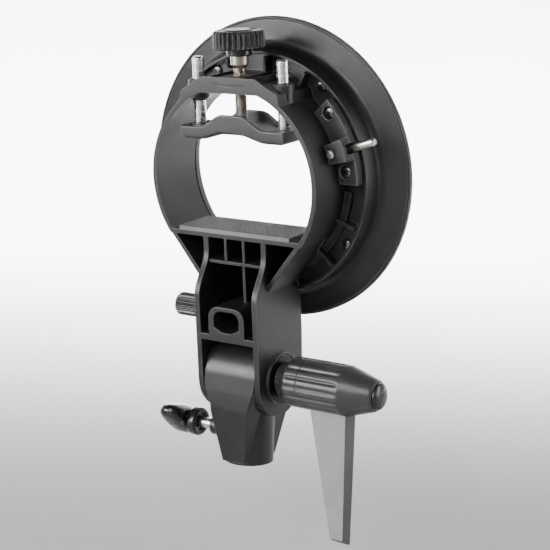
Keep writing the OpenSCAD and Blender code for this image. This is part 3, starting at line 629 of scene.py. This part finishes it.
# %% Jaw, its plate and pad, guide rods
softened("clamp_jaw", 0.85, "jaw_plastic", "jaw_edge", segments=4)
softened("jaw_plate", 0.25)
softened("jaw_pad", 0.25)
softened("guide_rods", 0.25, segments=2)
softened("retaining_washer", 0.15)

# %% [markdown]
# ## Screw threads
# A thread is a single groove that climbs by one pitch for each turn. The lathe makes a
# rod with fine rows, and the groove tree twists one narrow groove round it.

# %% Threaded rods
def threaded(node, outline, place, start, end, radius, pitch=1.0, depth=0.42):
    mesh = lathe(rounded(outline, 0.4), 40, row=pitch / 7)
    mesh = cut_grooves(mesh, place, slot_of[node], 1, depth, start, end, 0.6,
                       radius - 2.2 * depth, -2 * math.pi / pitch, 0.9)
    smooth_shade(mesh, 50)
    take_over(mesh, node)

place, length = lathe_frame("clamp_screw", head_up)
knob_low = measured("clamp_knob", place)[0].z / mm
shank_low = knob_low - 5.9
threaded("clamp_screw", [(0, 0), (0, 2.4), (2.85, 2.4), (2.85, 3.1), (shank_low, 3.1),
                         (shank_low + 1.4, 4.5), (knob_low, 4.5), (knob_low, 3.0),
                         (length, 3.0), (length, 0)], place, 3.2, shank_low - 1.6, 3.1)
place, length = lathe_frame("lock_screw", side)
threaded("lock_screw", [(0, 0), (0, 3.0), (length, 3.0), (length, 0)], place, 11.5,
         length - 0.5, 3.0)
place, length = lathe_frame("umbrella_screw", side)
threaded("umbrella_screw", [(0, 0), (0, 2.5), (length, 2.5), (length, 0)], place, 5.4,
         length - 0.4, 2.5, 0.8, 0.34)

# %% [markdown]
# ## Knobs
# Fingers need an edge to hold, so knobs are fluted. The clamp knob has thirty narrow
# grooves and a bright bevelled face, the small umbrella knob has eighteen.

# %% Clamp knob
place, length = lathe_frame("clamp_knob", head_up)
knob_r = half_width("clamp_knob", place)
disc = 3.3
outline = [(0, 0), (0, 6.1), (0.5, 6.35), (disc - 0.5, 6.35), (disc, 6.9),
           (disc, knob_r - 1.0), (disc + 0.9, knob_r), (length - 1.6, knob_r),
           (length - 0.35, knob_r - 1.5), (length - 0.35, 10.2), (length - 0.75, 9.8),
           (length - 0.75, 7.6), (length, 6.6), (length, 0.0)]
mesh = lathe(rounded(outline, 0.35), 360, row=1.2)
mesh = cut_grooves(mesh, place, "knob_plastic", 30, 1.0, disc + 0.5, length - 0.4, 0.7,
                   knob_r - 1.8, narrow=1.3)
smooth_shade(mesh, 40)
take_over(mesh, "clamp_knob")

# %% Umbrella knob
place, length = lathe_frame("umbrella_knob", -side)
knob_r = half_width("umbrella_knob", place)
mesh = lathe(rounded([(0, 0), (0, knob_r - 0.6), (0.7, knob_r), (length - 1.0, knob_r),
                      (length - 0.2, knob_r - 1.2), (length, knob_r - 2.2), (length - 0.4, 2.6),
                      (length - 0.4, 0)], 0.3), 216, row=1.0)
mesh = cut_grooves(mesh, place, "knob_plastic", 18, 0.75, 0.6, length - 0.3, 0.6,
                   knob_r - 1.5, narrow=1.2)
smooth_shade(mesh, 40)
take_over(mesh, "umbrella_knob")

# %% [markdown]
# ## The tilt lever
# The hub is a stub with fine serrations, so it grips even when oily. The barrel slides
# over it on a spring: pull it out, turn it to a free place, and let it snap back. Its
# flutes end where the nose tapers.

# %% Lever hub
place, length = lathe_frame("lever_hub", side, pivot)
outline = [(0, 4.2), (0, 8.3), (0.5, 8.8), (length - 1.0, 8.8), (length, 7.9), (length, 3.1),
           (length - 9.5, 3.1), (length - 9.5, 4.2)]
mesh = lathe(outline, 320, closed=True, row=1.5)
mesh = cut_grooves(mesh, place, "lever_plastic", 40, 0.4, 0.6, length - 0.6, 0.5, 7.5,
                   narrow=0.8)
smooth_shade(mesh, 40)
take_over(mesh, "lever_hub")

# %% Lever barrel
place, length = lathe_frame("lever_barrel", side, pivot)
taper, barrel_r, nose_r = 32.8, 13.0, 7.8
outer = rounded([(0.0, 8.9), (0.0, 11.9), (1.1, 12.9), (8.2, 12.95), (8.5, 12.6), (8.8, 12.95),
                 (taper, barrel_r), (length - 0.9, nose_r + 0.35), (length, nose_r - 0.5),
                 (length, 5.7)], 0.35, 3)
inner = [(length - 25.5, 5.6), (length - 25.5, 3.1), (length - 28.3, 3.1), (length - 28.3, 8.9)]
mesh = lathe(outer + inner, 320, closed=True, row=1.4)
mesh = cut_grooves(mesh, place, "lever_plastic", 16, 0.75, 0.7, taper - 0.6, 1.4, 11.2,
                   narrow=2.4)
smooth_shade(mesh, 40)
take_over(mesh, "lever_barrel")

# %% [markdown]
# The arm is a flat tapered bar with a bevelled border, and the cap is a glossy dome with
# a groove round its foot that hides the seam.

# %% Lever arm, cap and inner screw
arm = softened("lever_arm", 0.9, "arm_grey", "arm_edge", segments=3)
for face in arm.data.polygons:
    face.material_index = 0 if abs(face.normal.y) > 0.9 else 1
place, length = lathe_frame("lever_cap", side, pivot)
foot, cap_r = 3.4, 6.8
dome = [(foot + (length - foot) * math.sin(a), cap_r * math.cos(a))
        for a in (math.pi / 2 * i / 14 for i in range(1, 14))]
outline = [(0, 0), (0, 5.5), (2.5, 5.5), (2.5, 6.3), (2.9, 6.3), (2.9, cap_r), (3.3, cap_r)]
mesh = lathe(rounded(outline, 0.12, 2) + dome + [(length, 0)], 96)
mesh.transform(place)
smooth_shade(mesh, 45)
take_over(mesh, "lever_cap")
softened("lever_screw", 0.3)

# %% [markdown]
# ## The stand lock's handle
# A glossy T-shaped handle, soft enough for a gloved hand. Its bar is a row of rounded
# sections that swell in the middle and close in round ends; its hub is turned, with a
# dark recess where the steel screw enters.

# %% Sections along a bar
def bar_of_sections(centre, along, wide, high, half_length, half_wide, half_high, swell,
                    rows=48, steps=48):
    """Rounded sections, set along a line, that close smoothly at both ends."""
    bm = bmesh.new()
    rings = []
    for i in range(rows + 1):
        s = -1 + 2 * i / rows
        s = math.sin(s * math.pi / 2)
        close = (1 - abs(s) ** 5) ** 0.45
        w, h = half_wide * close, (half_high + swell * math.cos(s * math.pi / 2) ** 2) * close
        if close < 1e-3:
            rings.append([bm.verts.new(centre + along * half_length * s)])
            continue
        ring = []
        for k in range(steps):
            a = 2 * math.pi * k / steps
            c, d = math.cos(a), math.sin(a)
            ring.append(bm.verts.new(
                centre + along * half_length * s
                + wide * w * math.copysign(abs(c) ** 0.75, c)
                + high * h * math.copysign(abs(d) ** 0.75, d)))
        rings.append(ring)
    for low, high_ring in zip(rings, rings[1:]):
        for k in range(steps):
            j = (k + 1) % steps
            if len(low) == 1:
                bm.faces.new([low[0], high_ring[j], high_ring[k]])
            elif len(high_ring) == 1:
                bm.faces.new([low[k], low[j], high_ring[0]])
            else:
                bm.faces.new([low[k], low[j], high_ring[j], high_ring[k]])
    return bm

# %% T-shaped handle
points = [v.co for v in frame["nodes"]["lock_handle"].data.vertices]
low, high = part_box("lock_handle")
middle = (low + high) / 2
far_points = [p for p in points if p.x < low.x + 8 * mm]
yz = sum((p.y - middle.y) * (p.z - middle.z) for p in far_points)
yy = sum((p.y - middle.y) ** 2 for p in far_points)
zz = sum((p.z - middle.z) ** 2 for p in far_points)
lean = 0.5 * math.atan2(2 * yz, yy - zz)
along = Vector((0, math.cos(lean), math.sin(lean)))
across = Vector((0, -math.sin(lean), math.cos(lean)))
reach = max((p - middle).dot(along) for p in points)
bar_centre = Vector((low.x + 7.1 * mm, middle.y, middle.z))
bm = bar_of_sections(bar_centre, along, side, across, reach, 7.0 * mm, 4.25 * mm, 3.0 * mm)
bar = mesh_from(bm, "bar")
hub_outline = [(0, 0), (0, 5.4), (3.0, 6.6), (5.0, 7.55), (8.6, 7.55), (9.3, 6.8), (9.3, 5.2),
               (7.4, 4.4), (7.4, 3.05), (5.0, 3.05), (5.0, 0)]
hub = lathe(rounded(hub_outline, 0.5), 72)
hub_start = Vector((high.x - 9.3 * mm, middle.y, middle.z))
hub.transform(frame_matrix(hub_start, Vector((0, 1, 0)), Vector((0, 0, 1)), side))
both = bmesh.new()
for part in (bar, hub):
    both.from_mesh(part)
bmesh.ops.recalc_face_normals(both, faces=both.faces)
mesh = mesh_from(both, "lock_handle_piece")
smooth_shade(mesh, 45)
take_over(mesh, "lock_handle")
print("handle leans", round(math.degrees(lean), 1), "degrees")

# %% [markdown]
# ## The platform pad
# The pad's fine crossing ribs keep a flash from sliding. A tree lowers the top of a dense
# slab between two sets of slanted ribs, and leaves its border flat, as a mould does.

# %% Ribbed pad
def rib_tree():
    tree = Tree("raise_ribs", *((name, "Float") for name in ("Pitch", "Height", "Top",
                                                             "Half width", "Half depth")))
    calc, inputs = tree.calc, tree.inputs
    x, y, z = tree.point()
    ribs = []
    for lean_y in (0.62, -0.62):
        slanted = calc("ADD", calc("MULTIPLY", x, 0.78), calc("MULTIPLY", y, lean_y))
        phase = calc("MULTIPLY", calc("DIVIDE", slanted, inputs["Pitch"]), 2 * math.pi)
        ribs.append(calc("MULTIPLY", calc("ADD", calc("COSINE", phase), 1.0), 0.5))
    wave = calc("SUBTRACT", calc("SQRT", calc("MULTIPLY", *ribs)), 1.0)
    border_x, border_y = (calc("DIVIDE", calc("SUBTRACT", inputs[half], calc("ABSOLUTE", place)),
                               0.8 * mm, clamp=True)
                          for half, place in (("Half width", x), ("Half depth", y)))
    top = calc("GREATER_THAN", z, calc("SUBTRACT", inputs["Top"], 1e-5))
    lift = calc("MULTIPLY", calc("MULTIPLY", wave, inputs["Height"]),
                calc("MULTIPLY", top, calc("MULTIPLY", border_x, border_y)))
    return tree.closed(tree.moved(Z=lift))

low, high = measured("platform_pad", ring_frame)
size = (high - low) / mm
columns, rows = 250, 96
bm = bmesh.new()
grid = [[bm.verts.new(((i / columns - 0.5) * size.x * mm, (j / rows - 0.5) * size.y * mm,
                       size.z * mm)) for j in range(rows + 1)] for i in range(columns + 1)]
for i in range(columns):
    for j in range(rows):
        bm.faces.new([grid[i][j], grid[i + 1][j], grid[i + 1][j + 1], grid[i][j + 1]])
border = ([grid[i][0] for i in range(columns)] + [grid[columns][j] for j in range(rows)]
          + [grid[i][rows] for i in range(columns, 0, -1)]
          + [grid[0][j] for j in range(rows, 0, -1)])
levels = [border]
for drop in (0.25, size.z):
    levels.append([bm.verts.new((v.co.x, v.co.y, (size.z - drop) * mm)) for v in border])
for above, below in zip(levels, levels[1:]):
    for k in range(len(border)):
        j = (k + 1) % len(border)
        bm.faces.new([above[k], below[k], below[j], above[j]])
bm.faces.new(list(reversed(levels[-1])))
bmesh.ops.recalc_face_normals(bm, faces=bm.faces)
slab = mesh_from(bm, "slab")
pad_middle = Vector(((low.x + high.x) / 2, (low.y + high.y) / 2, low.z))
pad_place = ring_frame @ Matrix.Translation(pad_middle)
modes = {"Pitch": 1.7 * mm, "Height": 0.5 * mm, "Top": size.z * mm,
         "Half width": size.x / 2 * mm, "Half depth": size.y / 2 * mm,
         "Finish": finishes["pad_rubber"]}
mesh = run_tree(slab, rib_tree(), pad_place, **modes)
smooth_shade(mesh, 50)
take_over(mesh, "platform_pad")

# %% [markdown]
# ## Screws
# Every cross-head screw here is the same shape in another size: a domed head with a cross
# cut in it, and a shank. One head is modelled, and a tree sets a copy on each place where
# the model has a screw. The turn of each cross differs, because nobody lines them up.

# %% One cross-head screw
def cross_screw(head_r, head_t, shank_r, length, finish):
    """A screw whose head is at the start of local Z and looks down it."""
    dome = [(head_t * 0.45 * (1 - math.cos(a)), head_r * math.sin(a))
            for a in (math.pi / 2 * i / 8 for i in range(1, 9))]
    outline = [(0, 0)] + dome + [(head_t, head_r * 0.99), (head_t, shank_r), (length, shank_r),
                                 (length, 0)]
    body = new_object("screw", lathe(outline, 40))
    body.data.materials.append(finishes[finish])
    for angle in (0, math.pi / 2):
        bm = bmesh.new()
        arm = head_r * 0.56
        for z, half in ((-0.5, 0.30), (head_t * 0.72, 0.12)):
            for x, y in ((-1, -1), (1, -1), (1, 1), (-1, 1)):
                shrink = 1.0 if z < 0 else 0.45
                bm.verts.new((x * arm * shrink * mm, y * head_r * half * 0.62 * mm, z * mm))
        bm.verts.ensure_lookup_table()
        v = bm.verts
        for a, b, c, d in ((0, 3, 2, 1), (4, 5, 6, 7), (0, 1, 5, 4), (1, 2, 6, 5), (2, 3, 7, 6),
                           (3, 0, 4, 7)):
            bm.faces.new([v[a], v[b], v[c], v[d]])
        bmesh.ops.rotate(bm, verts=bm.verts, matrix=Matrix.Rotation(angle, 3, "Z"))
        bmesh.ops.recalc_face_normals(bm, faces=bm.faces)
        cutter = new_object("cross", mesh_from(bm, "cross"))
        cut_out(body, cutter)
        bpy.context.view_layer.update()
        graph = bpy.context.evaluated_depsgraph_get()
        body.data = bpy.data.meshes.new_from_object(body.evaluated_get(graph), depsgraph=graph)
        body.modifiers.clear()
        bpy.data.objects.remove(cutter)
    smooth_shade(body.data, 35)
    return body

# %% Places of the screws
def islands(node):
    """The separate solids of a node, as lists of points."""
    bm = bmesh.new()
    bm.from_mesh(merged_copy(node))
    seen, found = set(), []
    for start in bm.verts:
        if start in seen:
            continue
        stack, group = [start], []
        seen.add(start)
        while stack:
            v = stack.pop()
            group.append(v.co.copy())
            for e in v.link_edges:
                other = e.other_vert(v)
                if other not in seen:
                    seen.add(other)
                    stack.append(other)
        found.append(group)
    bm.free()
    return found

def screw_places(node, direction):
    """Where each screw's head starts, and the sizes of one screw, in millimetres."""
    places, sizes = [], None
    for group in islands(node):
        depths = [p.dot(direction) for p in group]
        start, end = min(depths), max(depths)
        flat = [p - direction * p.dot(direction) for p in group]
        centre = sum(flat, Vector()) / len(flat)
        radii = [(f - centre).length for f in flat]
        head_r = max(radii)
        shank = [r for r, d in zip(radii, depths) if d > start + 0.6 * (end - start)]
        head_depth = [d for r, d in zip(radii, depths) if r > head_r * 0.95]
        places.append(centre + direction * start)
        sizes = (head_r / mm, (max(head_depth) - start) / mm, max(shank) / mm, (end - start) / mm)
    return places, sizes

# %% The tree that sets them
def setting_tree():
    tree = Tree("set_screws", ("Screw", "Object"), ("Direction", "Vector"), ("Seed", "Int"))
    new, link, inputs = tree.new, tree.link, tree.inputs
    points = new("GeometryNodeMeshToPoints")
    info = new("GeometryNodeObjectInfo")
    aim_node = new("FunctionNodeAlignRotationToVector")
    aim_node.axis = "Z"
    turn_node = new("FunctionNodeRandomValue")
    turn_node.data_type = "FLOAT"
    turn_node.inputs[3].default_value = math.pi / 2
    spin = new("FunctionNodeRotateRotation")
    spin.rotation_space = "LOCAL"
    euler = new("ShaderNodeCombineXYZ")
    to_rotation = new("FunctionNodeEulerToRotation")
    setter = new("GeometryNodeInstanceOnPoints")
    link(inputs["Geometry"], points.inputs["Mesh"])
    link(inputs["Screw"], info.inputs["Object"])
    link(inputs["Direction"], aim_node.inputs["Vector"])
    link(inputs["Seed"], turn_node.inputs["Seed"])
    link(turn_node.outputs[1], euler.inputs[2])
    link(euler.outputs[0], to_rotation.inputs[0])
    link(aim_node.outputs[0], spin.inputs["Rotation"])
    link(to_rotation.outputs[0], spin.inputs["Rotate By"])
    link(points.outputs[0], setter.inputs["Points"])
    link(info.outputs["Geometry"], setter.inputs["Instance"])
    link(spin.outputs[0], setter.inputs["Rotation"])
    return tree.closed(setter.outputs[0])

setting = setting_tree()

# %% Latch, frame and mount screws
def set_screws(node, direction, seed, finish=None):
    finish = finish or slot_of[node]
    places, sizes = screw_places(node, direction)
    screw = cross_screw(*sizes, finish)
    points = bpy.data.meshes.new("places")
    points.from_pydata([tuple(p) for p in places], [], [])
    mesh = run_tree(points, setting, Matrix.Identity(4), Screw=screw, Direction=tuple(direction),
                    Seed=seed, Finish=finishes[finish])
    bpy.data.objects.remove(screw)
    smooth_shade(mesh, 35)
    take_over(mesh, node, finish)
    print(node, len(places), "screws; head", [round(s, 2) for s in sizes])

set_screws("latch_screws", front, 3)
set_screws("frame_screws", front, 5, "black_screw")
set_screws("mount_screws", -front, 8)

# %% [markdown]
# ## Springs
# A coil spring is a round wire on a spiral. Geometry Nodes has both: a spiral line, and a
# circle swept along it.

# %% Springs
def spring_tree():
    tree = Tree("wind_spring", *((name, "Float") for name in ("Radius", "Wire", "Height",
                                                              "Turns")))
    link, inputs = tree.link, tree.inputs
    spiral = tree.new("GeometryNodeCurveSpiral")
    spiral.inputs["Resolution"].default_value = 36
    circle = tree.new("GeometryNodeCurvePrimitiveCircle")
    circle.inputs["Resolution"].default_value = 12
    sweep = tree.new("GeometryNodeCurveToMesh")
    sweep.inputs["Fill Caps"].default_value = True
    link(inputs["Radius"], spiral.inputs["Start Radius"])
    link(inputs["Radius"], spiral.inputs["End Radius"])
    link(inputs["Height"], spiral.inputs["Height"])
    link(inputs["Turns"], spiral.inputs["Rotations"])
    link(inputs["Wire"], circle.inputs["Radius"])
    link(spiral.outputs[0], sweep.inputs["Curve"])
    link(circle.outputs[0], sweep.inputs["Profile Curve"])
    return tree.closed(sweep.outputs[0])

winding = spring_tree()

def wind(node, direction, wire, turns):
    """A spring that fills a node's length and width. wire is the wire's radius."""
    place, length = axis_frame(node, direction)
    low, high = measured(node, place)
    radius = (high.x - low.x) / 2 - wire * mm
    mesh = run_tree(bpy.data.meshes.new("none"), winding,
                    place @ Matrix.Translation((0, 0, wire * mm)), Radius=radius,
                    Wire=wire * mm, Height=length - 2 * wire * mm, Turns=float(turns),
                    Finish=finishes[slot_of[node]])
    bm = bmesh.new()
    bm.from_mesh(mesh)
    bmesh.ops.remove_doubles(bm, verts=bm.verts, dist=1e-6)
    bmesh.ops.recalc_face_normals(bm, faces=bm.faces)
    bm.to_mesh(mesh)
    smooth_shade(mesh, 50)
    return take_over(mesh, node)

def travel(joint):
    """How far a sliding joint can go from rest, in metres."""
    return max(abs(v) for v in joints[joint]["range_m"])

def shorten(piece, node, joint, direction):
    """Gives the spring a mesh of its own, and prints how much of its length it keeps at its
    joint's full travel.
    """
    place, length = axis_frame(node, direction)
    keep = 1 - travel(joint) / length
    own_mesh(piece)
    print(piece.name, "keeps", round(keep, 2), "of its length")

shorten(wind("latch_spring", front, 0.24, 6), "latch_spring", "latch_pull", front)
shorten(wind("lever_spring", side, 0.6, 8), "lever_spring", "lever_pull", side)

# %% [markdown]
# ## The tilt bolt
# Its button head shows on the side away from the lever, with a hexagonal socket for a
# key. The dome is turned and the socket is cut with a six-sided prism.

# %% Tilt bolt
place, length = lathe_frame("tilt_bolt", side, pivot)
head_t, head_r, flat_r, bolt_r, key_r = 4.0, 8.0, 4.4, 4.0, 2.9
dome = [(head_t * 0.75 * (1 - math.cos(a)), flat_r + (head_r - flat_r) * math.sin(a))
        for a in (math.pi / 2 * i / 8 for i in range(9))]
bolt = lathe([(0, 0)] + dome + [(head_t, head_r), (head_t, bolt_r), (length - 0.5, bolt_r),
                                (length, bolt_r - 0.5), (length, 0)], 72)
bolt.transform(place)
key = [(key_r * math.cos(math.pi / 3 * k), key_r * math.sin(math.pi / 3 * k)) for k in range(6)]
socket = prism(key, -2.6, 1.0, place @ Matrix.Rotation(math.radians(90), 4, "X"))
work = new_object("work", bolt)
bolt.materials.append(finishes["screw_steel"])
cut_out(work, socket)
mesh = baked(work)
bpy.data.objects.remove(socket)
smooth_shade(mesh, 35)
take_over(mesh, "tilt_bolt")

# %% [markdown]
# ## Floor and light
# The bracket is shown in a plain paper bowl, which rises smoothly on every side. The paper
# glows a little by itself, so no side of it is dark. Black plastic shows its shape by what
# it mirrors, so it gets a few soft lights with dark gaps between them. The key stands where
# the drum and the barrel mirror it to the camera. The paper behind the piece has two lights
# of its own with narrow beams, which hardly reach the piece.

# %% Floor
floor_z = cad_box[0][2] - 12 * mm
into = Vector((look.x, look.y, 0)).normalized()
flat_radius, curve, wall_top, around = 1.6, 0.8, 3.0, 96
profile = [(flat_radius, 0.0)]
profile += [(flat_radius + curve * math.sin(a), curve - curve * math.cos(a))
            for a in (math.pi / 2 * i / 16 for i in range(1, 17))]
profile.append((flat_radius + curve, wall_top))
bm = bmesh.new()
rings = []
for radius, height in profile:
    rings.append([bm.verts.new((aim.x + radius * math.cos(a), aim.y + radius * math.sin(a),
                                floor_z + height))
                  for a in (2 * math.pi * k / around for k in range(around))])
bm.faces.new(rings[0])
for low_ring, high_ring in zip(rings, rings[1:]):
    for k in range(around):
        j = (k + 1) % around
        bm.faces.new([low_ring[j], low_ring[k], high_ring[k], high_ring[j]])
floor = new_object("sweep", mesh_from(bm, "sweep"))
for face in floor.data.polygons:
    face.use_smooth = True
paper, tree, shader, add = new_finish("pale_paper")
where = add("ShaderNodeTexCoord")
mottle = add("ShaderNodeTexNoise", Scale=3.0, Detail=2.0)
tone = ramp(add, 0.50, 0.53)
tree.links.new(where.outputs["Object"], mottle.inputs["Vector"])
tree.links.new(mottle.outputs["Fac"], tone.inputs["Fac"])
tree.links.new(tone.outputs["Color"], shader.inputs["Base Color"])
shader.inputs["Roughness"].default_value = 0.9
shader.inputs["Emission Color"].default_value = (1, 1, 1, 1)
shader.inputs["Emission Strength"].default_value = 0.05
floor.data.materials.append(paper)

# %% Lights
backward = -into

def soft_light(name, turned, raised, distance, size, power):
    """A square-cut light on the piece. turned and raised are degrees from the camera's side."""
    a, e = math.radians(turned), math.radians(raised)
    direction = (backward * math.cos(a) + level * math.sin(a)) * math.cos(e)
    direction += Vector((0, 0, 1)) * math.sin(e)
    place_light(name, aim + direction * distance, aim, size, power)

def place_light(name, here, toward, size, power):
    """An area light at a place, turned toward another place. Returns the light's settings."""
    light = new_object(name, bpy.data.lights.new(name, "AREA"))
    light.data.energy, light.data.shape = power, "RECTANGLE"
    light.data.size, light.data.size_y = size
    light.location = here
    light.rotation_euler = (toward - here).to_track_quat("-Z", "Y").to_euler()
    return light.data

soft_light("key", -68, 10, 1.0, (0.45, 0.4), 9.6)
soft_light("front fill", -30, 25, 1.0, (0.5, 0.5), 5.0)
soft_light("right edge", 80, 10, 0.9, (0.4, 0.8), 4.8)
soft_light("rim", 140, 35, 0.9, (0.5, 0.8), 1.2)
far = place_light("far paper", aim + into * 1.5 + Vector((0, 0, 1.3)), aim + into * 1.9,
                  (2.4, 0.6), 170)
near = place_light("near paper", aim + into * 0.85 + Vector((0, 0, 0.9)), aim + into * 0.95,
                   (2.4, 0.5), 90)
far.spread, near.spread = math.radians(90), math.radians(80)
world = bpy.data.worlds.new("studio")
bpy.context.scene.world = world
world.use_nodes = True
background = world.node_tree.nodes["Background"]
background.inputs["Color"].default_value = (1, 1, 1, 1)
background.inputs["Strength"].default_value = 0.02
